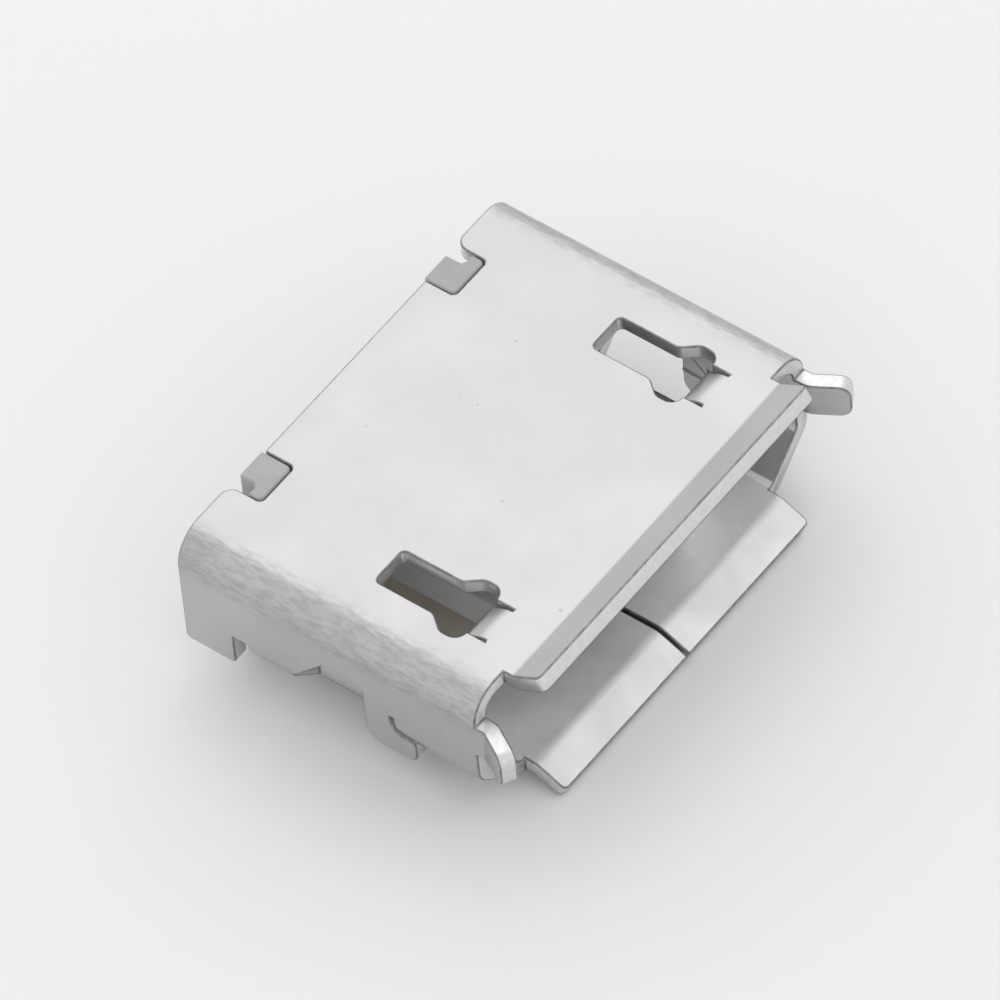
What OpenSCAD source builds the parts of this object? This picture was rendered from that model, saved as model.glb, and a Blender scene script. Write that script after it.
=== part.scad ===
// Micro USB socket, board mounted, five contacts. Millimetres.
// X runs across the mouth, the mouth faces -Y, and Z is up from the shell's bottom face at zero.

/* [Shell] */
// Outer width of the shell
shell_w = 7.5; // [7.2:0.05:8.2]
// Outer height of the shell, lips left out
shell_h = 2.4; // [2.2:0.05:2.8]
// Depth of the top plate, front cut to rear cut
shell_d = 5.15; // [4.6:0.05:6]
// Thickness of the sheet
sheet_t = 0.25; // [0.2:0.01:0.3]
// Height of the upright part of each side wall
wall_drop = 1.65; // [1.4:0.05:1.75]
// Distance that each lower wall runs inwards
slope_run = 0.78; // [0.6:0.02:0.9]
// Outer radius of the two upper bends
top_bend_r = 0.5; // [0.35:0.05:0.7]
// Outer radius of the knees and of the two lower bends
low_bend_r = 0.4; // [0.35:0.05:0.5]
// Length of the bottom plate that is left off at the rear
bottom_short = 1.1; // [0.8:0.05:1.3]
// Gap of the seam where the two ends of the sheet meet
seam_gap = 0.05; // [0.02:0.01:0.1]
// Length of the dovetail's wide end, along the seam
dovetail_head = 0.9; // [0.6:0.1:1.2]
// Length of the dovetail's neck, along the seam
dovetail_neck = 0.6; // [0.4:0.05:0.8]
// Depth of the dovetail, across the seam
dovetail_d = 0.7; // [0.4:0.05:0.9]

/* [Lips] */
// Angle of the top lip
top_lip_a = 30; // [15:1:40]
// Width of the top lip
top_lip_w = 6.1; // [5.4:0.1:6.2]
// Length of the top lip past its bend
top_lip_l = 0.5; // [0.3:0.05:0.8]
// Angle of the bottom lip
bottom_lip_a = 26; // [10:1:30]
// Width of the bottom lip
bottom_lip_w = 5.6; // [4.8:0.1:5.7]
// Length of the bottom lip past its bend
bottom_lip_l = 0.45; // [0.3:0.05:0.6]
// Angle of the side lips
side_lip_a = 30; // [15:1:40]
// Height of the side lips
side_lip_h = 0.6; // [0.4:0.05:0.7]
// Length of the side lips past their bend
side_lip_l = 0.52; // [0.3:0.02:0.7]
// Inner radius of the bend under each lip
lip_bend_r = 0.1; // [0.05:0.01:0.2]
// Radius of the side lips' free corners
lip_corner_r = 0.18; // [0.05:0.01:0.25]
// Radius of the top and bottom lips' free corners
wide_lip_corner_r = 0.09; // [0.05:0.01:0.2]
// Step back of the front cut beside each lip
lip_relief = 0.12; // [0.05:0.01:0.25]

/* [Latch windows] */
// Distance of each window's centre from the middle
window_x = 2.45; // [2.2:0.05:2.6]
// Distance of the windows behind the front cut
window_back = 0.94; // [0.8:0.02:1.2]
// Length of a window
window_l = 1.55; // [1.2:0.05:1.8]
// Width of a window's narrow rear part
window_w = 0.64; // [0.5:0.02:0.8]
// Width of a window's wide front part
window_wide_w = 1.04; // [0.9:0.02:1.2]
// Length of a window's wide front part, with its shoulders
window_wide_l = 0.56; // [0.54:0.02:0.7]
// Length of the slanted shoulders
shoulder_l = 0.25; // [0.2:0.01:0.26]
// Width of the ramp in front of a window
ramp_w = 0.6; // [0.4:0.02:0.7]
// Slit on each side of the ramp
ramp_slit = 0.03; // [0.02:0.01:0.05]
// Length of the ramp past its bend
ramp_l = 0.24; // [0.1:0.02:0.3]
// Angle of the ramp
ramp_a = 28; // [10:1:35]

/* [Rear cut] */
// Distance of each notch's centre from the middle
notch_x = 2.18; // [2:0.02:2.4]
// Width of a notch
notch_w = 0.74; // [0.6:0.02:0.8]
// Depth of a notch
notch_d = 0.56; // [0.44:0.02:0.66]
// Radius of a notch's outer corner, where the rear edge begins
notch_corner_r = 0.2; // [0.1:0.02:0.24]
// Step forward of the rear edge between the notches
middle_step = 0.06; // [0.02:0.01:0.1]

/* [Legs] */
// Distance of the front legs' front edge behind the front cut
leg_back = 1.62; // [1.3:0.02:1.7]
// Width of a front leg's neck
leg_w = 0.45; // [0.4:0.05:0.6]
// Height of the feet's soles, where the board begins, above the shell's bottom face
foot_rise = 0.35; // [0.1:0.05:0.4]
// Reach of a front leg's toe ahead of its neck
toe_l = 0.42; // [0.36:0.02:0.56]
// Height of a front leg's toe
toe_h = 0.42; // [0.35:0.01:0.5]
// Radius of a front leg's heel, and of the corner between its neck and its toe
heel_r = 0.25; // [0.1:0.01:0.3]
// Slit between a front leg and the wall that it is cut from
leg_slit = 0.06; // [0.03:0.01:0.1]
// Rise of the slit in front of a leg's neck, above the toe
slit_rise = 0.32; // [0.3:0.02:0.4]
// Gap in front of a front leg's toe
toe_gap = 0.1; // [0.05:0.01:0.2]
// Length of the relief slot behind a front leg
slot_l = 0.65; // [0.5:0.05:0.9]
// Rise of the relief slot above the knee
slot_rise = 0.66; // [0.5:0.02:0.7]
// Run of the slot's slanted rear end
slot_slant = 0.6; // [0.3:0.05:0.7]
// Width of a rear leg
rear_leg_w = 0.85; // [0.5:0.05:0.95]

/* [Housing] */
// Depth of the housing's block inside the shell
block_d = 1.15; // [1:0.05:1.3]
// Gap between the housing and the shell
fit_gap = 0.02; // [0.01:0.01:0.04]
// Width of the part of a lug that reaches the rear
lug_w = 0.5; // [0.3:0.05:0.6]
// Depth of the part of a lug that fills its notch from side to side
lug_ledge = 0.24; // [0.16:0.02:0.34]
// Width of the tongue
tongue_w = 3.7; // [3.5:0.05:3.9]
// Thickness of the tongue
tongue_t = 0.6; // [0.5:0.02:0.7]
// Gap between the tongue and the shell's top plate
tongue_drop = 0.42; // [0.35:0.01:0.5]
// Distance of the tongue's tip behind the front cut
tongue_back = 0.9; // [0.7:0.05:1.2]

/* [Contacts] */
// Distance between neighbouring contacts
contact_pitch = 0.65; // [0.6:0.01:0.7]
// Width of a contact
contact_w = 0.4; // [0.3:0.01:0.45]
// Thickness of a contact
contact_t = 0.15; // [0.1:0.01:0.2]
// Distance that a contact stands proud of the tongue
contact_proud = 0.03; // [0.01:0.01:0.05]
// Distance of a contact's end behind the tongue's tip
contact_back = 0.2; // [0.1:0.05:0.4]
// Reach of a contact's tail past the housing
tail_reach = 0.6; // [0.55:0.05:0.9]
// Length of the flat foot of a tail
foot_l = 0.3; // [0.2:0.02:0.35]

/* [Hidden] */

// Flat facets along each bend
bend_steps = 7;
// Length by which a cutter passes a face
over = 0.5;
// Length by which a lip's root runs into its plate
bite = 0.15;
// Radius of small cut corners
cut_r = 0.08;

front = -shell_d / 2;
rear = shell_d / 2;
knee_z = shell_h - wall_drop;
bottom_half = shell_w / 2 - slope_run;
inner_top = shell_h - sheet_t;

// Corners of the shell's section, anticlockwise from the lower left
section = [[-bottom_half, 0], [bottom_half, 0], [shell_w / 2, knee_z],
    [shell_w / 2, shell_h], [-shell_w / 2, shell_h], [-shell_w / 2, knee_z]];
section_r = [low_bend_r, low_bend_r, low_bend_r, top_bend_r, top_bend_r, low_bend_r];

// Height at which the upright wall begins, above its knee bend
knee_turn = atan(slope_run / knee_z);
wall_z = knee_z + low_bend_r * tan(knee_turn / 2);
lip_mid_r = lip_bend_r + sheet_t / 2;
bottom_end = rear - bottom_short;
slot_x = bottom_half + low_bend_r / 2;
side_lip_z = shell_h - top_bend_r - side_lip_h / 2;

neck_front = front + leg_back;
neck_rear = neck_front + leg_w;
slot_rear = neck_rear + slot_l;
slot_front = neck_front - toe_l - toe_gap;
toe_top = foot_rise + toe_h;
slot_root = toe_top + slit_rise + bite;
ramp_reach = lip_mid_r * sin(ramp_a) + ramp_l * cos(ramp_a);

housing_rear = rear - fit_gap;
ledge_rear = rear - notch_d + lug_ledge;
lug_in = notch_x - notch_w / 2 + fit_gap;
block_front = rear - block_d;
tongue_top = inner_top - tongue_drop;
tongue_bottom = tongue_top - tongue_t;
tongue_tip = front + tongue_back;
contact_bottom = tongue_bottom - contact_proud;
contact_mid = contact_bottom + contact_t / 2;
tail_r = contact_t;

function unit(a) = [cos(a), sin(a)];
function normal(a) = [-sin(a), cos(a)];
function reversed(p) = [for (i = [len(p) - 1:-1:0]) p[i]];
function way(a, b) = (b - a) / norm(b - a);
function left(v) = [-v[1], v[0]];

// A closed outline with an arc of its own radius at each corner
function rounded(p, r) = [
    for (i = [0:len(p) - 1])
    let (
        u = way(p[(i + len(p) - 1) % len(p)], p[i]),
        v = way(p[i], p[(i + 1) % len(p)]),
        turn = atan2(cross(u, v), u * v),
        centre = p[i] - r[i] * tan(abs(turn) / 2) * u + sign(turn) * r[i] * left(u),
        start = atan2(u[1], u[0])
    )
    each r[i] == 0 ? [p[i]] : [
        for (k = [0:bend_steps])
        centre - sign(turn) * r[i] * normal(start + turn * k / bend_steps)
    ]
];

// A convex outline moved inwards by d
function inset(p, d) = [
    for (i = [0:len(p) - 1])
    let (
        u = left(way(p[(i + len(p) - 1) % len(p)], p[i])),
        v = left(way(p[i], p[(i + 1) % len(p)]))
    )
    p[i] + d * (u + v) / (1 + u * v)
];

// One face of a bent strip: a step is [length] for a straight or [radius, turn] for a bend
function face(steps, at, a, side, i = 0) =
    i == len(steps) ? [at + side * normal(a)] :
    len(steps[i]) == 1 ?
        concat([at + side * normal(a)],
            face(steps, at + steps[i][0] * unit(a), a, side, i + 1)) :
    let (
        turn = steps[i][1],
        r = steps[i][0] * sign(turn),
        centre = at + r * normal(a)
    )
    concat([for (k = [0:bend_steps - 1])
            let (b = a + turn * k / bend_steps) centre + (side - r) * normal(b)],
        face(steps, centre - r * normal(a + turn), a + turn, side, i + 1));

// The outline of a bent strip of thickness t that starts at a point with a heading
function strip(steps, at, a, t) =
    concat(face(steps, at, a, t / 2), reversed(face(steps, at, a, -t / 2)));

// The shell's section moved inwards by d, with its bends kept round
module section_in(d) {
    polygon(rounded(inset(section, d), [for (r = section_r) r - d]));
}

// A section drawn in X and Z, run from one Y to another
module run(y0, y1) {
    translate([0, y1, 0]) rotate([90, 0, 0]) linear_extrude(y1 - y0) children();
}

// An outline drawn in Y and Z, of thickness t across X
module slice(x0, t) {
    translate([x0, 0, 0]) rotate([90, 0, 90]) linear_extrude(t) children();
}

module both_sides() {
    children();
    mirror([1, 0, 0]) children();
}

// A tab on the middle of the sheet that heads for -Y and bends up, with rounded free corners
module tab(width, length, angle, root, corner_r) {
    slab = 2;
    intersection() {
        slice(-width / 2 - over, width + 2 * over)
            polygon(strip([[root], [lip_mid_r, -angle], [length + over]], [root, 0], 180, sheet_t));
        translate([0, -lip_mid_r * sin(angle), lip_mid_r * (1 - cos(angle))])
            rotate([-angle, 0, 0]) translate([0, 0, -slab / 2]) linear_extrude(slab)
            polygon(rounded([[-width / 2, -length], [width / 2, -length],
                [width / 2, slab], [-width / 2, slab]], [corner_r, corner_r, 0, 0]));
    }
}

module top_lip() {
    translate([0, front, shell_h - sheet_t / 2])
        tab(top_lip_w, top_lip_l, top_lip_a, lip_relief + bite, wide_lip_corner_r);
}

module bottom_lip() {
    translate([0, front, sheet_t / 2]) mirror([0, 0, 1])
        tab(bottom_lip_w, bottom_lip_l, bottom_lip_a, lip_relief + bite, wide_lip_corner_r);
}

module side_lip() {
    translate([shell_w / 2 - sheet_t / 2, front, side_lip_z]) rotate([0, 90, 0])
        tab(side_lip_h, side_lip_l, side_lip_a, lip_relief + bite, lip_corner_r);
}

// The seam in the bottom plate, with one dovetail that locks the two ends of the sheet
module seam() {
    reach = shell_d / 2 + bottom_lip_l + over;
    difference() {
        union() {
            translate([-seam_gap / 2, -reach]) square([seam_gap, 2 * reach]);
            dovetail(seam_gap, seam_gap / 2);
        }
        dovetail(0, over);
    }
}

module dovetail(grow, right) {
    polygon([[right, -dovetail_neck / 2 - grow], [right, dovetail_neck / 2 + grow],
        [0, dovetail_neck / 2 + grow], [-dovetail_d - grow, dovetail_head / 2 + grow],
        [-dovetail_d - grow, -dovetail_head / 2 - grow], [0, -dovetail_neck / 2 - grow]]);
}

// A keyhole with its wide end to the front, and the slot of the ramp that leads a latch into it
module window_outline() {
    n = window_w / 2;
    w = window_wide_w / 2;
    bulge_r = cut_r * 2.2;
    polygon(rounded([[-w, 0], [w, 0], [w, window_wide_l - shoulder_l], [n, window_wide_l],
        [n, window_l], [-n, window_l], [-n, window_wide_l], [-w, window_wide_l - shoulder_l]],
        [bulge_r, bulge_r, bulge_r, bulge_r, cut_r, cut_r, bulge_r, bulge_r]));
    slot_w = ramp_w + 2 * ramp_slit;
    translate([-slot_w / 2, -ramp_reach]) square([slot_w, ramp_reach + bulge_r]);
}

module window_ramp() {
    translate([window_x, front + window_back - ramp_reach, shell_h - sheet_t / 2])
        rotate([0, 180, 180]) tab(ramp_w, ramp_l, ramp_a, bite, cut_r);
}

// The rear edge of one half: the stepped middle, one notch and the round corner outside it
module rear_cut() {
    n0 = notch_x - notch_w / 2;
    n1 = notch_x + notch_w / 2;
    polygon(rounded([[-over, rear + 2 * over], [-over, rear - middle_step], [n0, rear - middle_step],
        [n0, rear - notch_d], [n1, rear - notch_d], [n1, rear], [shell_w, rear],
        [shell_w, rear + 2 * over]], [0, 0, 0, cut_r, cut_r, notch_corner_r, 0, 0]));
}

// The cut that frees a front leg, with its relief slot behind the neck
module leg_slot() {
    slit_z = toe_top + leg_slit;
    slit_y = neck_front - leg_slit;
    slant_end = slot_rear + slot_slant;
    polygon(rounded([[slot_front, -over], [slant_end, -over], [slant_end, knee_z],
        [slot_rear, knee_z + slot_rise],
        [neck_rear, knee_z + slot_rise], [neck_rear, slit_z], [neck_front, slit_z],
        [neck_front, toe_top + slit_rise], [slit_y, toe_top + slit_rise], [slit_y, slit_z],
        [slot_front, slit_z]],
        [0, 0, cut_r, cut_r, cut_r, 0, 0, 0, 0, max(0, heel_r - leg_slit), cut_r]));
}

module front_leg() {
    slice(shell_w / 2 - sheet_t, sheet_t)
        polygon(rounded([[neck_rear, foot_rise], [neck_rear, slot_root], [neck_front, slot_root],
            [neck_front, toe_top], [neck_front - toe_l, toe_top], [neck_front - toe_l, foot_rise]],
            [heel_r, 0, 0, heel_r, cut_r, cut_r * 2]));
}

module rear_leg() {
    slice(shell_w / 2 - sheet_t, sheet_t)
        polygon(rounded([[rear, foot_rise], [rear, wall_z + bite], [rear - rear_leg_w, wall_z + bite],
            [rear - rear_leg_w, foot_rise]], [cut_r, 0, 0, cut_r]));
}

module shell() {
    color([0.82, 0.82, 0.83]) {
        difference() {
            union() {
                run(front + lip_relief, rear + over) difference() {
                    section_in(0);
                    section_in(sheet_t);
                }
                top_lip();
                bottom_lip();
                both_sides() side_lip();
            }
            translate([0, 0, -over]) linear_extrude(over + sheet_t * 2) seam();
            both_sides() translate([window_x, front + window_back, inner_top - sheet_t])
                linear_extrude(sheet_t * 3) window_outline();
            both_sides() translate([0, 0, -over]) linear_extrude(shell_h + 2 * over) rear_cut();
            both_sides() slice(slot_x, shell_w) leg_slot();
            translate([-shell_w, bottom_end, -over]) cube([shell_w * 2, shell_d, over + wall_z]);
        }
        both_sides() window_ramp();
        both_sides() front_leg();
        both_sides() rear_leg();
    }
}

// Centre of a contact across the tongue, counted from -X
function contact_x(i) = (i - 3) * contact_pitch;

// The housing's block fills the shell, and its foot stands behind the short bottom plate
module block() {
    foot_w = 2 * bottom_half - 2 * fit_gap;
    intersection() {
        union() {
            run(block_front, housing_rear) section_in(sheet_t + fit_gap);
            translate([-foot_w / 2, bottom_end + fit_gap, fit_gap])
                cube([foot_w, housing_rear - bottom_end - fit_gap, sheet_t * 2]);
        }
        translate([0, 0, -over]) linear_extrude(shell_h + over) block_plan();
    }
}

// The block seen from above: its rear corners are set back as far as the lugs' ledges
module block_plan() {
    half = lug_in + lug_w;
    polygon(rounded([[-shell_w, front], [shell_w, front], [shell_w, ledge_rear], [half, ledge_rear],
        [half, rear], [-half, rear], [-half, ledge_rear], [-shell_w, ledge_rear]],
        [0, 0, 0, cut_r, 0, 0, cut_r, 0]));
}

// A lug fills the front of its notch, and its narrower part reaches the rear
module lug() {
    lug_out = notch_x + notch_w / 2 - fit_gap;
    y0 = rear - notch_d + fit_gap;
    translate([0, 0, inner_top - sheet_t]) linear_extrude(sheet_t * 2)
        polygon(rounded([[lug_in, y0], [lug_out, y0], [lug_out, ledge_rear],
            [lug_in + lug_w, ledge_rear], [lug_in + lug_w, housing_rear], [lug_in, housing_rear]],
            [cut_r, cut_r, 0, cut_r, 0, 0]));
}

module tongue() {
    tip_r = tongue_t / 4;
    slice(-tongue_w / 2, tongue_w)
        polygon(rounded([[block_front + bite, tongue_bottom], [block_front + bite, tongue_top],
            [tongue_tip, tongue_top], [tongue_tip, tongue_bottom]], [0, 0, tip_r, tip_r]));
}

module housing() {
    color([0.13, 0.13, 0.14]) difference() {
        union() {
            block();
            both_sides() lug();
            tongue();
        }
        for (i = [1:5]) translate([contact_x(i) - contact_w / 2, 0, 0]) {
            translate([0, tongue_tip + contact_back, contact_bottom])
                cube([contact_w, shell_d, contact_t]);
            translate([0, tongue_tip + contact_back, contact_bottom - sheet_t])
                cube([contact_w, block_front - tongue_tip - contact_back, sheet_t + contact_t / 2]);
        }
    }
}

// A strip along the tongue, through the block and down to a flat foot at the feet's height
module contact(i) {
    start = [tongue_tip + contact_back, contact_mid];
    run_l = housing_rear - start[0] + tail_reach - foot_l - 2 * tail_r;
    fall = contact_mid - contact_t / 2 - 2 * tail_r - foot_rise;
    color([0.86, 0.74, 0.45]) slice(contact_x(i) - contact_w / 2, contact_w)
        polygon(strip([[run_l], [tail_r, -90], [fall], [tail_r, 90], [foot_l]],
            start, 0, contact_t));
}

shell();
housing();
contact(1);  // contact_1
contact(2);  // contact_2
contact(3);  // contact_3
contact(4);  // contact_4
contact(5);  // contact_5
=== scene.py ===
"""Looks of the micro USB socket: plated sheet, moulded housing, plated contacts and a plain studio."""

import math

import bmesh
import bpy
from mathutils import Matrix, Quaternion, Vector
from mathutils.bvhtree import BVHTree


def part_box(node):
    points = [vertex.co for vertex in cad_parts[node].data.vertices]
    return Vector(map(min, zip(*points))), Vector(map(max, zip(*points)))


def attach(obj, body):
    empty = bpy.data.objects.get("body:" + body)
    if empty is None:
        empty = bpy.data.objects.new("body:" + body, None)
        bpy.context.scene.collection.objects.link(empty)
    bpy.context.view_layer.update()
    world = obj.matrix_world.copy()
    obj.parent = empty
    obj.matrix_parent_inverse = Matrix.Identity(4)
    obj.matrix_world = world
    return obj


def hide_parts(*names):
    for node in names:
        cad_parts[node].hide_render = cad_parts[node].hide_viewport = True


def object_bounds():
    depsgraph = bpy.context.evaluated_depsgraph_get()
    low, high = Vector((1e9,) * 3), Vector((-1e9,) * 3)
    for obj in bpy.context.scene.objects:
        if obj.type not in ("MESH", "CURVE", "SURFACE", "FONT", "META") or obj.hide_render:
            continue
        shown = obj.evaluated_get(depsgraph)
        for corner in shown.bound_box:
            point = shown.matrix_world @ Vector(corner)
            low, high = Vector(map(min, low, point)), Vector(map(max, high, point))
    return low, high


bl_info = {
    "name": "Micro USB Socket",
    "version": (1, 0, 0),
    "blender": (4, 5, 0),
    "location": "View3D > Sidebar > Socket",
    "description": "Finishes a board-mounted socket and lights it",
    "category": "Object",
}

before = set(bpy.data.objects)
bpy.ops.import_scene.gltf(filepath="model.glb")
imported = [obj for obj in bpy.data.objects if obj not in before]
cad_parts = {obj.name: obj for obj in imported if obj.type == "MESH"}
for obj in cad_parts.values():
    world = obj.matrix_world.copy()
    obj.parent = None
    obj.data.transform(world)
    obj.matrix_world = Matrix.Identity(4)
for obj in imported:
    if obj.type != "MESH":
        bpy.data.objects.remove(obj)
cad_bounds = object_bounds()

MM = 0.001
BODY = "root"
# Slots of the shell's finishes, in the order in which they are added
OUTER, CUT, INNER, RIM = range(4)
# A face whose normal has a part larger than this is square to an axis
SQUARE = 0.9999
# Two faces are back to back where the product of their normals is below this
BACK_TO_BACK = -0.95
# Edges sharper than this are rounded, and the facets of a bend stay under it
SHARP = math.radians(32)
# Faces that meet at less than this are joined into one
FLAT = math.radians(0.5)
# Points closer than this are one point
SAME = 1e-7
# The floor lies this far below the lowest lip
FLOOR_GAP = 0.01 * MM
FLOOR_REACH = 0.6
CONTACTS = [f"contact_{i}" for i in range(1, 6)]


# Shader maths written as expressions

class Value:
    """A number from a node, which adds Math nodes as it is used in an expression."""

    def __init__(self, nodes, socket):
        self.nodes = nodes
        self.socket = socket

    def _math(self, operation, *terms):
        made = self.nodes.add("ShaderNodeMath", {"operation": operation}, dict(enumerate(terms)))
        return made[0]

    def __add__(self, other):
        return self._math("ADD", self, other)

    def __sub__(self, other):
        return self._math("SUBTRACT", self, other)

    def __rsub__(self, other):
        return self._math("SUBTRACT", other, self)

    def __mul__(self, other):
        return self._math("MULTIPLY", self, other)

    def __lt__(self, other):
        return self._math("LESS_THAN", self, other)

    def __or__(self, other):
        return self._math("MAXIMUM", self, other)

    def __abs__(self):
        return self._math("ABSOLUTE", self)

    __radd__ = __add__
    __rmul__ = __mul__


class Outputs:
    """The outputs of one node, by name or by number."""

    def __init__(self, nodes, node):
        self.nodes = nodes
        self.node = node

    def __getitem__(self, key):
        return Value(self.nodes, self.node.outputs[key])


class Nodes:
    """A node tree and the one method that adds its nodes."""

    def __init__(self, tree):
        self.tree = tree
        tree.nodes.clear()

    def add(self, kind, settings=None, inputs=None):
        made = self.tree.nodes.new(kind)
        for name, value in (settings or {}).items():
            setattr(made, name, value)
        for key, value in (inputs or {}).items():
            if isinstance(value, Value):
                self.tree.links.new(value.socket, made.inputs[key])
            else:
                made.inputs[key].default_value = value
        return Outputs(self, made)


class Finish(Nodes):
    """A material whose patterns are laid out in millimetres on the piece."""

    def __init__(self, name):
        self.material = bpy.data.materials.new(name)
        self.material.use_nodes = True
        super().__init__(self.material.node_tree)
        place = self.add("ShaderNodeTexCoord")["Object"]
        self.mm = self.add("ShaderNodeVectorMath", {"operation": "SCALE"},
                           {0: place, "Scale": 1 / MM})[0]
        xyz = self.add("ShaderNodeSeparateXYZ", {}, {0: self.mm})
        self.x, self.y, self.z = xyz["X"], xyz["Y"], xyz["Z"]

    def stretched(self, x, y, z):
        """Coordinates in millimetres, scaled along each axis."""
        return self.add("ShaderNodeVectorMath", {"operation": "MULTIPLY"},
                        {0: self.mm, 1: (x, y, z)})[0]

    def noise(self, scale, detail=2.0, roughness=0.5, vector=None):
        inputs = {"Vector": vector or self.mm, "Scale": scale, "Detail": detail,
                  "Roughness": roughness}
        return self.add("ShaderNodeTexNoise", {}, inputs)["Fac"]

    def step(self, value, low, high, a=0.0, b=1.0):
        """A smooth change from a to b as value goes from low to high."""
        inputs = {"Value": value, "From Min": low, "From Max": high, "To Min": a, "To Max": b}
        return self.add("ShaderNodeMapRange", {"interpolation_type": "SMOOTHSTEP"}, inputs)[0]

    def mix(self, factor, a, b):
        """Colour a where factor is 0 and colour b where it is 1."""
        inputs = {"Factor": factor, 6: a, 7: b}
        return self.add("ShaderNodeMix", {"data_type": "RGBA"}, inputs)[2]

    def specks(self, scale, size, share):
        """Round specks of a size in millimetres, in a share of the cells."""
        cells = self.add("ShaderNodeTexVoronoi", {"feature": "F1"},
                         {"Vector": self.mm, "Scale": scale, "Randomness": 1.0})
        pick = self.add("ShaderNodeSeparateColor", {}, {0: cells["Color"]})["Red"]
        return self.step(cells["Distance"], size * scale, size * scale * 0.4) * (pick < share)

    def bump(self, height, depth_mm, normal=None):
        """A normal for a relief of a depth in millimetres, laid over an earlier one."""
        inputs = {"Height": height, "Distance": depth_mm * MM}
        if normal:
            inputs["Normal"] = normal
        return self.add("ShaderNodeBump", {}, inputs)["Normal"]

    def surface(self, **sockets):
        inputs = {name.replace("_", " "): value for name, value in sockets.items()}
        shader = self.add("ShaderNodeBsdfPrincipled", {}, inputs)
        self.add("ShaderNodeOutputMaterial", {}, {"Surface": shader["BSDF"]})
        return self.material


def grey(level):
    """A neutral colour."""
    return (level, level, level, 1.0)


def shade(colour, factor=1.0):
    """A colour setting made darker or paler by a factor."""
    return tuple(min(1.0, c * factor) for c in colour) + (1.0,)


# Finishes

def bend_mask(f, settings):
    """Where the sheet is drawn round its two upper bends."""
    half, top = settings.half_width / MM, settings.height / MM
    bend = settings.bend_radius / MM
    across = f.step(abs(f.x), half - bend * 1.25, half - bend * 0.6)
    up = f.step(f.z, top - bend * 1.6, top - bend * 0.9)
    return across * up


def plated_sheet(settings):
    """Satin plating over rolled sheet, mottled and darkened where the sheet was bent; the darkening is
    partly mottle and partly a painted shade at the tops of the side walls.
    """
    f = Finish("plated_sheet")
    clouds = f.noise(0.7, 3.0)
    rolled = f.noise(6.0, 3.0, 0.6, f.stretched(3.0, 0.12, 3.0))
    grain = f.noise(26.0, 3.0, 0.6)
    orange_peel = f.noise(9.0, 4.0, 0.65, f.stretched(1.8, 0.45, 1.8))
    bends = bend_mask(f, settings)
    specks = f.specks(2.6, 0.022, 0.3) + f.specks(1.1, 0.04, 0.25) * 0.7
    scratch = f.step(f.noise(5.0, 1.0, 0.3, f.stretched(0.25, 2.6, 1.0)), 0.735, 0.76)
    dull, pale = shade(settings.metal_colour, 0.96), shade(settings.metal_colour, 1.03)
    colour = f.mix(f.step(clouds, 0.3, 0.7), dull, pale)
    # Patchy darkening over the upper bends and wall tops: partly orange-peel mottle, partly painted
    # shade.
    colour = f.mix(bends * f.step(orange_peel, 0.36, 0.68) * 0.42, colour, grey(0.26))
    colour = f.mix(specks * 0.45, colour, grey(0.2))
    rough = settings.metal_roughness + (grain - 0.5) * 0.06
    rough = rough + bends * (orange_peel - 0.5) * 0.3 + specks * 0.15 - scratch * 0.06
    normal = f.bump(rolled, 0.0006)
    normal = f.bump(grain * (1 - bends * 0.5), 0.0009, normal)
    normal = f.bump(bends * orange_peel, 0.009, normal)
    normal = f.bump(specks + scratch * 0.4, 0.0012, normal)
    return f.surface(Base_Color=colour, Metallic=1.0, Roughness=rough, Normal=normal)


def lit_inner_sheet(settings):
    """The inner side of the sheet: duller, with drawing marks along the mouth's depth, and paler in a
    painted light that stands in for light reaching inside the mouth.
    """
    f = Finish("lit_inner_sheet")
    drawn = f.noise(7.0, 3.0, 0.6, f.stretched(3.0, 0.15, 3.0))
    film = f.noise(1.2, 3.0)
    grain = f.noise(24.0, 2.0, 0.6)
    # Painted light: the inner side is coloured paler than the outer sheet, standing in for the light
    # inside the mouth.
    dull, pale = shade(settings.inner_lit_colour, 0.9), shade(settings.inner_lit_colour, 1.05)
    colour = f.mix(f.step(film, 0.3, 0.7), dull, pale)
    rough = settings.inner_roughness + (drawn - 0.5) * 0.12 + (grain - 0.5) * 0.06
    normal = f.bump(drawn, 0.0008)
    normal = f.bump(grain, 0.0009, normal)
    return f.surface(Base_Color=colour, Metallic=settings.inner_metal, Roughness=rough,
                     Normal=normal)


def sheared_edge(settings):
    """The cut edges of the sheet: a bright sheared band and a duller torn one."""
    f = Finish("sheared_edge")
    lines = f.noise(30.0, 2.0, 0.6)
    torn = f.noise(14.0, 3.0, 0.6)
    dull, pale = shade(settings.edge_colour, 0.85), shade(settings.edge_colour)
    colour = f.mix(f.step(torn, 0.3, 0.7) * 0.6, pale, dull)
    rough = settings.metal_roughness + 0.02 + (torn - 0.5) * 0.15
    normal = f.bump(lines, 0.0015)
    return f.surface(Base_Color=colour, Metallic=1.0, Roughness=rough, Normal=normal)


def painted_dark_rim(settings):
    """The rounded rims beside the cut edges, a little rougher, in a painted shade: a dark colour that
    stands in for the darker surroundings the rims reflect.
    """
    f = Finish("painted_dark_rim")
    worn = f.noise(9.0, 3.0)
    # Painted shade: the rims are coloured dark to stand in for the darker surroundings that they
    # reflect.
    dull, pale = shade(settings.rim_shade_colour, 0.8), shade(settings.rim_shade_colour, 1.25)
    colour = f.mix(f.step(worn, 0.3, 0.7), dull, pale)
    rough = settings.metal_roughness + 0.08 + (worn - 0.5) * 0.1
    normal = f.bump(worn, 0.001)
    return f.surface(Base_Color=colour, Metallic=1.0, Roughness=rough, Normal=normal)


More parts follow.
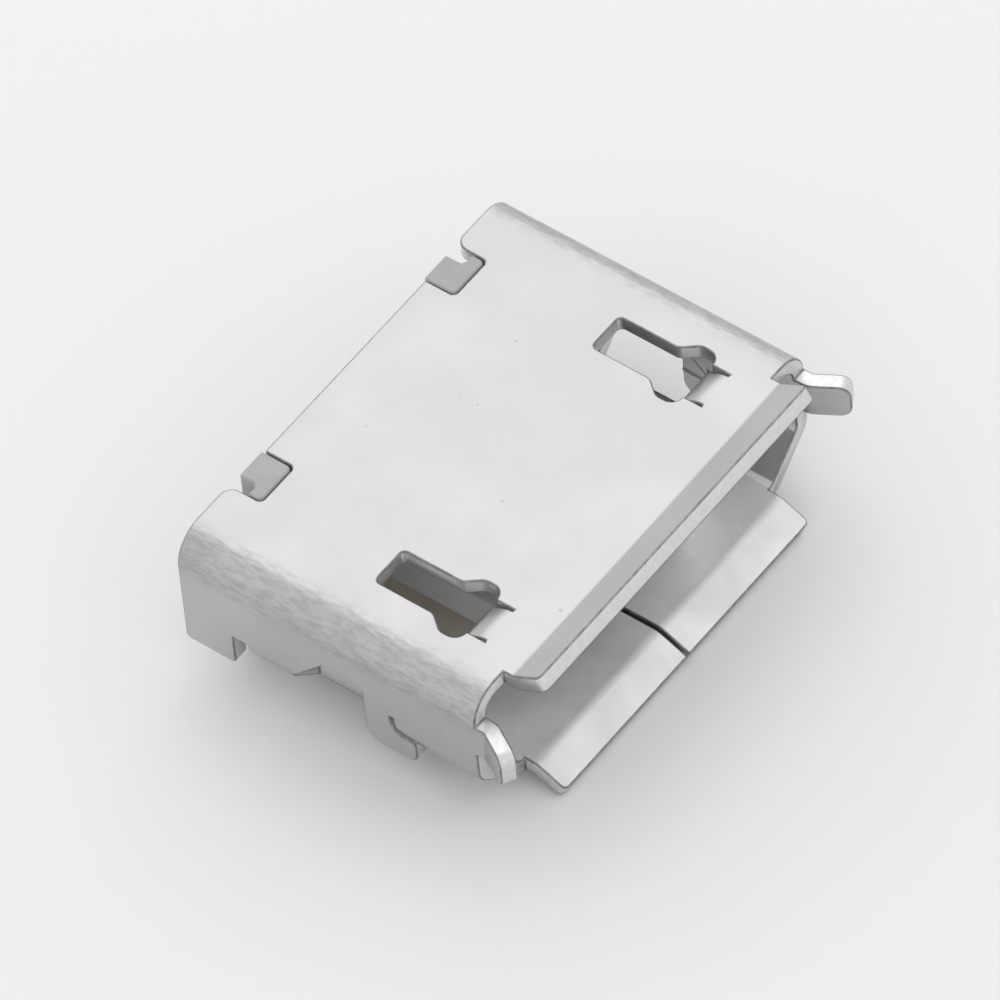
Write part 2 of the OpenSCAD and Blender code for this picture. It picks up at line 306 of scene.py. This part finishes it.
def housing_plastic(settings):
    """Filled moulding with flow marks and short fibres."""
    f = Finish("housing_plastic")
    flow = f.noise(3.0, 4.0, 0.6, f.stretched(1.0, 0.35, 1.0))
    fibres = f.noise(16.0, 2.0, 0.5, f.stretched(1.0, 0.2, 1.0))
    grain = f.noise(40.0, 2.0, 0.5)
    dark, pale = shade(settings.plastic_colour, 0.94), shade(settings.plastic_colour, 1.05)
    colour = f.mix(f.step(flow, 0.35, 0.65), dark, pale)
    colour = f.mix(f.step(fibres, 0.6, 0.72) * 0.15, colour, grey(0.55))
    rough = settings.plastic_roughness + (flow - 0.5) * 0.12
    normal = f.bump(fibres, 0.002)
    normal = f.bump(grain, 0.0012, normal)
    return f.surface(Base_Color=colour, Roughness=rough, Normal=normal)


def contact_plating(settings):
    """Gold on the mating face, tin on the tails, with drawn lines along the strip."""
    f = Finish("contact_plating")
    drawn = f.noise(8.0, 3.0, 0.6, f.stretched(4.0, 0.2, 4.0))
    worn = f.noise(5.0, 3.0)
    tin_start = settings.tin_start / MM
    tail = f.step(f.y + (worn - 0.5) * 0.25, tin_start, tin_start + 0.2)
    colour = f.mix(worn, shade(settings.gold_colour), shade(settings.gold_colour, 1.12))
    colour = f.mix(tail, colour, shade(settings.tin_colour))
    rough = f.step(tail, 0.0, 1.0, 0.24, 0.38) + (drawn - 0.5) * 0.1
    normal = f.bump(drawn, 0.0012)
    return f.surface(Base_Color=colour, Metallic=1.0, Roughness=rough, Normal=normal)


# Meshes

def clean_copy(node, name):
    """A merged copy of a CAD node's mesh, its flat faces joined, with bevelled edges to come."""
    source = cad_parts[node].data
    mesh = bpy.data.meshes.new(name)
    work = bmesh.new()
    work.from_mesh(source)
    bmesh.ops.remove_doubles(work, verts=work.verts, dist=SAME)
    bmesh.ops.dissolve_limit(work, angle_limit=FLAT, verts=work.verts, edges=work.edges)
    work.to_mesh(mesh)
    work.free()
    piece = bpy.data.objects.new(name, mesh)
    bpy.context.scene.collection.objects.link(piece)
    return piece


def soften(piece, width, boxy=False, rim=0):
    """Rounds sharp edges by a width in metres and shades the rest smooth, or flat where it is boxy.

    The rounding takes its material from the slot numbered rim.
    """
    bevel = piece.modifiers.new("edge_round", "BEVEL")
    bevel.width = width
    bevel.segments = 2
    bevel.limit_method = "ANGLE"
    bevel.angle_limit = SHARP
    bevel.miter_outer = "MITER_SHARP"
    bevel.use_clamp_overlap = False
    bevel.material = rim
    bake_modifiers(piece)
    for face in piece.data.polygons:
        face.use_smooth = not (boxy and max(abs(n) for n in face.normal) > SQUARE)
    weighted = piece.modifiers.new("flat_shading", "WEIGHTED_NORMAL")
    weighted.keep_sharp = True
    weighted.weight = 80
    bake_modifiers(piece)


def bake_modifiers(piece):
    """Turns the piece's modifiers into plain mesh."""
    graph = bpy.context.evaluated_depsgraph_get()
    made = bpy.data.meshes.new_from_object(piece.evaluated_get(graph))
    made.name = piece.name
    piece.modifiers.clear()
    piece.data = made


def mark_sides(piece, settings):
    """Tells the faces across the sheet's thickness and its inner side from its outer side."""
    thickness = settings.thickness
    middle = settings.height / 2
    inner_wall = settings.half_width - thickness * 1.1
    mesh = piece.data
    points = [v.co for v in mesh.vertices]
    mesh.calc_loop_triangles()
    widest = {}
    for part in mesh.loop_triangles:
        if part.polygon_index not in widest or part.area > widest[part.polygon_index].area:
            widest[part.polygon_index] = part
    tree = BVHTree.FromPolygons(points, [tuple(t.vertices) for t in mesh.loop_triangles])
    for face in mesh.polygons:
        inside = sum((points[i] for i in widest[face.index].vertices), Vector()) / 3
        start = inside - face.normal * thickness * 0.02
        _, behind, _, depth = tree.ray_cast(start, -face.normal, thickness * 1.5)
        if behind is None or behind.dot(face.normal) > BACK_TO_BACK or depth < thickness * 0.7:
            face.material_index = CUT
            continue
        side_lip = inside.y < settings.front_cut and abs(inside.x) > inner_wall
        inwards = face.normal.x * inside.x + face.normal.z * (inside.z - middle) < 0
        face.material_index = INNER if inwards and not side_lip else OUTER


# Settings that a user would change

class ShellSettings(bpy.types.PropertyGroup):
    metal_colour: bpy.props.FloatVectorProperty(
        name="Metal colour", description="Colour of the plated sheet", subtype="COLOR",
        default=(0.5, 0.5, 0.505), min=0.0, max=1.0)
    metal_roughness: bpy.props.FloatProperty(
        name="Metal roughness", description="Blur of the sheet's reflections",
        default=0.34, min=0.0, max=1.0, subtype="FACTOR")
    # Painted light: the inner side is paler than the outer sheet, standing in for light inside the
    # mouth.
    inner_lit_colour: bpy.props.FloatVectorProperty(
        name="Inner colour", description="Colour of the sheet's inner side", subtype="COLOR",
        default=(0.85, 0.85, 0.855), min=0.0, max=1.0)
    inner_roughness: bpy.props.FloatProperty(
        name="Inner roughness", description="Blur of the inner side's reflections",
        default=0.4, min=0.0, max=1.0, subtype="FACTOR")
    inner_metal: bpy.props.FloatProperty(
        name="Inner metal", description="Share of the inner side that reflects as bare metal",
        default=0.55, min=0.0, max=1.0, subtype="FACTOR")
    edge_colour: bpy.props.FloatVectorProperty(
        name="Edge colour", description="Colour of the sheet's cut edges", subtype="COLOR",
        default=(0.7, 0.7, 0.705), min=0.0, max=1.0)
    # Painted shade: the rims' dark colour stands in for the darker surroundings that they reflect.
    rim_shade_colour: bpy.props.FloatVectorProperty(
        name="Rim colour", description="Colour of the rounded rims beside the cut edges",
        subtype="COLOR", default=(0.25, 0.25, 0.253), min=0.0, max=1.0)
    edge_round: bpy.props.FloatProperty(
        name="Edge rounding", description="Rounding of the sheet's cut edges",
        default=0.024 * MM, unit="LENGTH", precision=6)
    thickness: bpy.props.FloatProperty(
        name="Sheet thickness", description="Thickness by which cut faces are told apart",
        default=0.25 * MM, unit="LENGTH", precision=6)
    front_cut: bpy.props.FloatProperty(
        name="Front cut", description="Place of the mouth's front cut along Y",
        default=-2.575 * MM, unit="LENGTH", precision=6)
    half_width: bpy.props.FloatProperty(
        name="Half width", description="Half the shell's width",
        default=3.75 * MM, unit="LENGTH", precision=6)
    height: bpy.props.FloatProperty(
        name="Height", description="Height of the top plate's upper face",
        default=2.4 * MM, unit="LENGTH", precision=6)
    bend_radius: bpy.props.FloatProperty(
        name="Bend radius", description="Outer radius of the upper bends",
        default=0.5 * MM, unit="LENGTH", precision=6)


class HousingSettings(bpy.types.PropertyGroup):
    plastic_colour: bpy.props.FloatVectorProperty(
        name="Plastic colour", description="Colour of the moulding", subtype="COLOR",
        default=(0.42, 0.42, 0.425), min=0.0, max=1.0)
    plastic_roughness: bpy.props.FloatProperty(
        name="Plastic roughness", description="Blur of the moulding's reflections",
        default=0.5, min=0.0, max=1.0, subtype="FACTOR")
    edge_round: bpy.props.FloatProperty(
        name="Edge rounding", description="Rounding of the moulding's edges",
        default=0.03 * MM, unit="LENGTH", precision=6)


class ContactSettings(bpy.types.PropertyGroup):
    gold_colour: bpy.props.FloatVectorProperty(
        name="Gold colour", description="Colour of the mating faces", subtype="COLOR",
        default=(0.86, 0.66, 0.32), min=0.0, max=1.0)
    tin_colour: bpy.props.FloatVectorProperty(
        name="Tin colour", description="Colour of the tails", subtype="COLOR",
        default=(0.68, 0.68, 0.69), min=0.0, max=1.0)
    tin_start: bpy.props.FloatProperty(
        name="Tin start", description="Place along Y where the gold gives way to tin",
        default=2.2 * MM, unit="LENGTH", precision=6)
    foot_length: bpy.props.FloatProperty(
        name="Foot length", description="Length of a tail's foot, from the middle of its upright part",
        default=0.45 * MM, unit="LENGTH", precision=6)
    pitch: bpy.props.FloatProperty(
        name="Pitch", description="Distance between neighbouring contacts",
        default=0.65 * MM, unit="LENGTH", precision=6)
    thickness: bpy.props.FloatProperty(
        name="Thickness", description="Thickness of the contact strip",
        default=0.15 * MM, unit="LENGTH", precision=6)
    edge_round: bpy.props.FloatProperty(
        name="Edge rounding", description="Rounding of the strip's edges",
        default=0.02 * MM, unit="LENGTH", precision=6)


class StudioSettings(bpy.types.PropertyGroup):
    azimuth: bpy.props.FloatProperty(
        name="Azimuth", description="Camera's angle round the socket, 0 looks along +Y",
        default=math.radians(-48.6), subtype="ANGLE")
    elevation: bpy.props.FloatProperty(
        name="Elevation", description="Camera's angle above the board",
        default=math.radians(50.9), subtype="ANGLE")
    roll: bpy.props.FloatProperty(
        name="Roll", description="Turn of the camera about its own line of sight",
        default=math.radians(-5.9), subtype="ANGLE")
    distance: bpy.props.FloatProperty(
        name="Distance", description="Camera's distance from the socket",
        default=0.2, unit="LENGTH")
    view_width: bpy.props.FloatProperty(
        name="View width", description="Width of the view at the socket",
        default=13.6 * MM, unit="LENGTH", precision=6)
    floor_colour: bpy.props.FloatVectorProperty(
        name="Floor colour", description="Colour of the floor", subtype="COLOR",
        default=(0.9, 0.9, 0.9), min=0.0, max=1.0)
    key_light: bpy.props.FloatProperty(
        name="Key light", description="Brightness of the large overhead lamp", default=0.6)
    key_elevation: bpy.props.FloatProperty(
        name="Key elevation", description="Angle of the overhead lamp above the floor",
        default=math.radians(52), subtype="ANGLE")
    key_distance: bpy.props.FloatProperty(
        name="Key distance", description="Distance of the overhead lamp from the socket",
        default=0.2, unit="LENGTH")
    key_size: bpy.props.FloatProperty(
        name="Key size", description="Side of the square overhead lamp",
        default=0.22, unit="LENGTH")
    fill_light: bpy.props.FloatProperty(
        name="Fill light", description="Brightness of the surroundings", default=0.85)


# Pieces

class SOCKET_OT_shell(bpy.types.Operator):
    """Finish the folded shell"""
    bl_idname = "socket.shell"
    bl_label = "Shell"

    def execute(self, context):
        settings = context.scene.socket_shell
        piece = clean_copy("shell", "socket_shell")
        mark_sides(piece, settings)
        for finish in (plated_sheet, sheared_edge, lit_inner_sheet, painted_dark_rim):
            piece.data.materials.append(finish(settings))
        soften(piece, settings.edge_round, rim=RIM)
        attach(piece, BODY)
        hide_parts("shell")
        return {"FINISHED"}


class SOCKET_OT_housing(bpy.types.Operator):
    """Finish the moulded housing"""
    bl_idname = "socket.housing"
    bl_label = "Housing"

    def execute(self, context):
        settings = context.scene.socket_housing
        piece = clean_copy("housing", "socket_housing")
        piece.data.materials.append(housing_plastic(settings))
        soften(piece, settings.edge_round, boxy=True)
        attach(piece, BODY)
        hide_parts("housing")
        return {"FINISHED"}


def contact_tree():
    """Sweeps a rounded bar along a contact's path and sets copies of it at a pitch."""
    tree = bpy.data.node_groups.new("contact_row", "GeometryNodeTree")
    face = tree.interface
    face.new_socket("Path", in_out="INPUT", socket_type="NodeSocketGeometry")
    sizes = {}
    for name, kind in (("Count", "NodeSocketInt"), ("Pitch", "NodeSocketFloat"),
                       ("Width", "NodeSocketFloat"), ("Thickness", "NodeSocketFloat"),
                       ("Edge rounding", "NodeSocketFloat"), ("Bend radius", "NodeSocketFloat"),
                       ("Material", "NodeSocketMaterial")):
        sizes[name] = face.new_socket(name, in_out="INPUT", socket_type=kind).identifier
    face.new_socket("Geometry", in_out="OUTPUT", socket_type="NodeSocketGeometry")

    nodes = Nodes(tree)
    given = nodes.add("NodeGroupInput")
    path = nodes.add("GeometryNodeMeshToCurve", {}, {"Mesh": given["Path"]})[0]
    bent = nodes.add("GeometryNodeFilletCurve", {"mode": "POLY"},
                     {"Curve": path, "Radius": given["Bend radius"], "Count": 10})[0]
    bar = nodes.add("GeometryNodeCurvePrimitiveQuadrilateral", {"mode": "RECTANGLE"},
                    {"Width": given["Width"], "Height": given["Thickness"]})[0]
    bar = nodes.add("GeometryNodeFilletCurve", {"mode": "POLY"},
                    {"Curve": bar, "Radius": given["Edge rounding"], "Count": 3})[0]
    strip = nodes.add("GeometryNodeCurveToMesh", {},
                      {"Curve": bent, "Profile Curve": bar, "Fill Caps": True})[0]
    first = nodes.add("ShaderNodeCombineXYZ", {}, {"X": (given["Count"] - 1) * given["Pitch"] * -0.5})[0]
    step = nodes.add("ShaderNodeCombineXYZ", {}, {"X": given["Pitch"]})[0]
    row = nodes.add("GeometryNodeMeshLine", {"mode": "OFFSET"},
                    {"Count": given["Count"], "Start Location": first, "Offset": step})[0]
    copies = nodes.add("GeometryNodeInstanceOnPoints", {}, {"Points": row, "Instance": strip})[0]
    real = nodes.add("GeometryNodeRealizeInstances", {}, {0: copies})[0]
    done = nodes.add("GeometryNodeSetMaterial", {},
                     {"Geometry": real, "Material": given["Material"]})[0]
    nodes.add("NodeGroupOutput", {}, {0: done})
    return tree, sizes


class SOCKET_OT_contacts(bpy.types.Operator):
    """Make the row of contacts"""
    bl_idname = "socket.contacts"
    bl_label = "Contacts"

    def execute(self, context):
        settings = context.scene.socket_contacts
        low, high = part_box(CONTACTS[0])
        t = settings.thickness
        top = high[2] - t / 2
        foot = low[2] + t / 2
        drop_y = high[1] - settings.foot_length
        path = [(0, low[1], top), (0, drop_y, top), (0, drop_y, foot), (0, high[1], foot)]
        mesh = bpy.data.meshes.new("socket_contacts")
        mesh.from_pydata(path, [(i, i + 1) for i in range(len(path) - 1)], [])
        piece = bpy.data.objects.new("socket_contacts", mesh)
        context.scene.collection.objects.link(piece)
        tree, sizes = contact_tree()
        row = piece.modifiers.new("contact_row", "NODES")
        row.node_group = tree
        row[sizes["Count"]] = len(CONTACTS)
        row[sizes["Pitch"]] = settings.pitch
        row[sizes["Width"]] = high[0] - low[0]
        row[sizes["Thickness"]] = t
        row[sizes["Edge rounding"]] = settings.edge_round
        row[sizes["Bend radius"]] = t
        row[sizes["Material"]] = contact_plating(settings)
        bake_modifiers(piece)
        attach(piece, BODY)
        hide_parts(*CONTACTS)
        return {"FINISHED"}


# Studio

def studio_floor(settings):
    """A plain pale floor far wider than the view."""
    mesh = bpy.data.meshes.new("floor")
    corners = [(-1, -1), (1, -1), (1, 1), (-1, 1)]
    low = cad_bounds[0][2] - FLOOR_GAP
    mesh.from_pydata([(x * FLOOR_REACH, y * FLOOR_REACH, low) for x, y in corners], [],
                     [(0, 1, 2, 3)])
    floor = bpy.data.objects.new("floor", mesh)
    bpy.context.scene.collection.objects.link(floor)
    f = Finish("floor")
    colour = f.mix(f.noise(0.02, 2.0), shade(settings.floor_colour), shade(settings.floor_colour, 0.985))
    floor.data.materials.append(f.surface(Base_Color=colour, Roughness=0.9))


def studio_world(settings):
    """Even grey surroundings that the camera, metal and glass see as white."""
    world = bpy.data.worlds.new("studio")
    bpy.context.scene.world = world
    world.use_nodes = True
    nodes = Nodes(world.node_tree)
    ray = nodes.add("ShaderNodeLightPath")
    seen = ray["Is Camera Ray"] | ray["Is Glossy Ray"] | ray["Is Transmission Ray"]
    fill = nodes.add("ShaderNodeBackground", {}, {"Color": grey(1.0), "Strength": settings.fill_light})
    white = nodes.add("ShaderNodeBackground", {}, {"Color": grey(1.0), "Strength": 1.0})
    both = nodes.add("ShaderNodeMixShader", {}, {0: seen, 1: fill[0], 2: white[0]})
    nodes.add("ShaderNodeOutputWorld", {}, {"Surface": both[0]})


def key_lamp(settings, target):
    """A square lamp aimed at the target, with its brightness given per unit of area."""
    lamp = bpy.data.lights.new("key", "AREA")
    lamp.shape = "SQUARE"
    lamp.size = settings.key_size
    lamp.energy = settings.key_light * math.pi * settings.key_size ** 2
    holder = bpy.data.objects.new("key", lamp)
    away = direction(settings.azimuth + math.pi, settings.key_elevation)
    holder.location = target + away * settings.key_distance
    holder.rotation_euler = (-away).to_track_quat("-Z", "Y").to_euler()
    bpy.context.scene.collection.objects.link(holder)


def direction(azimuth, elevation):
    """The way from the socket to a viewer at that azimuth and elevation, in radians."""
    return Vector((math.sin(azimuth) * math.cos(elevation),
                   -math.cos(azimuth) * math.cos(elevation), math.sin(elevation)))


class SOCKET_OT_studio(bpy.types.Operator):
    """Add the floor, lamps and camera"""
    bl_idname = "socket.studio"
    bl_label = "Studio"

    def execute(self, context):
        settings = context.scene.socket_studio
        low, high = cad_bounds
        target = (Vector(low) + Vector(high)) / 2
        studio_floor(settings)
        studio_world(settings)
        key_lamp(settings, target)
        camera = bpy.data.cameras.new("camera")
        camera.lens = camera.sensor_width * settings.distance / settings.view_width
        camera.clip_start = 0.01
        camera.clip_end = 10.0
        holder = bpy.data.objects.new("camera", camera)
        away = direction(settings.azimuth, settings.elevation)
        holder.location = target + away * settings.distance
        level = (-away).to_track_quat("-Z", "Y")
        holder.rotation_euler = (level @ Quaternion((0, 0, 1), settings.roll)).to_euler()
        context.scene.collection.objects.link(holder)
        context.scene.camera = holder
        context.scene.view_settings.view_transform = "Standard"
        return {"FINISHED"}


class SOCKET_PT_panel(bpy.types.Panel):
    """Lists the steps that make the socket"""
    bl_label = "Socket"
    bl_idname = "SOCKET_PT_panel"
    bl_space_type = "VIEW_3D"
    bl_region_type = "UI"
    bl_category = "Socket"

    def draw(self, context):
        for step in STEPS:
            self.layout.operator(step.bl_idname)


SETTINGS = {
    "socket_shell": ShellSettings,
    "socket_housing": HousingSettings,
    "socket_contacts": ContactSettings,
    "socket_studio": StudioSettings,
}
STEPS = (SOCKET_OT_studio, SOCKET_OT_shell, SOCKET_OT_housing, SOCKET_OT_contacts)


def register():
    for kind in (*SETTINGS.values(), *STEPS, SOCKET_PT_panel):
        bpy.utils.register_class(kind)
    for name, kind in SETTINGS.items():
        setattr(bpy.types.Scene, name, bpy.props.PointerProperty(type=kind))


def unregister():
    for name in SETTINGS:
        delattr(bpy.types.Scene, name)
    for kind in (SOCKET_PT_panel, *reversed(STEPS), *SETTINGS.values()):
        bpy.utils.unregister_class(kind)


def main():
    register()
    bpy.ops.socket.studio()
    bpy.ops.socket.shell()
    bpy.ops.socket.housing()
    bpy.ops.socket.contacts()


if __name__ == "__main__":
    main()
